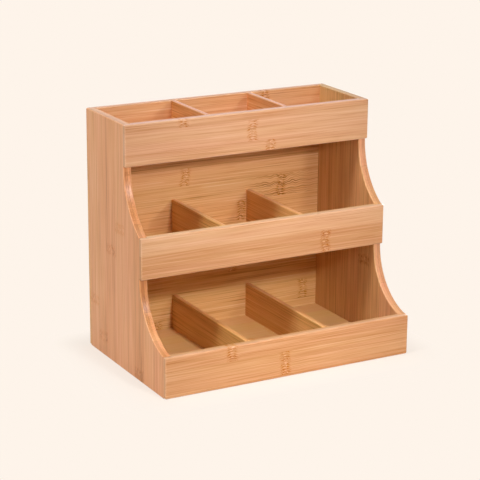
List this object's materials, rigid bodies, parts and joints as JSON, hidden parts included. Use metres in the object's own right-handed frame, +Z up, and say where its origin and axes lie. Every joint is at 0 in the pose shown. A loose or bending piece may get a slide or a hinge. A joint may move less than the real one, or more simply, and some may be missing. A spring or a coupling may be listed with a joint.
{
  "type": "desktop organizer",
  "caption": "Open desktop organizer in stepped tiers of shallow compartments, made of bamboo boards, for pods, sachets and stirrers.",
  "frame": {"origin": "middle of the underside, on the surface that it stands on", "axes": "+X along the length to the right, +Y to the back, +Z up"},
  "size_m": [0.265, 0.17, 0.24],
  "materials": {
    "bamboo": "satin"
  },
  "bodies": {
    "root": {"side_panel_left": "bamboo", "side_panel_right": "bamboo", "back_panel": "bamboo", "top_front_board": "bamboo", "top_floor": "bamboo", "top_divider_left": "bamboo", "top_divider_right": "bamboo", "middle_front_board": "bamboo", "middle_floor": "bamboo", "middle_divider_left": "bamboo", "middle_divider_right": "bamboo", "bottom_front_board": "bamboo", "bottom_floor": "bamboo", "bottom_divider_left": "bamboo", "bottom_divider_right": "bamboo"}
  },
  "joints": []
}
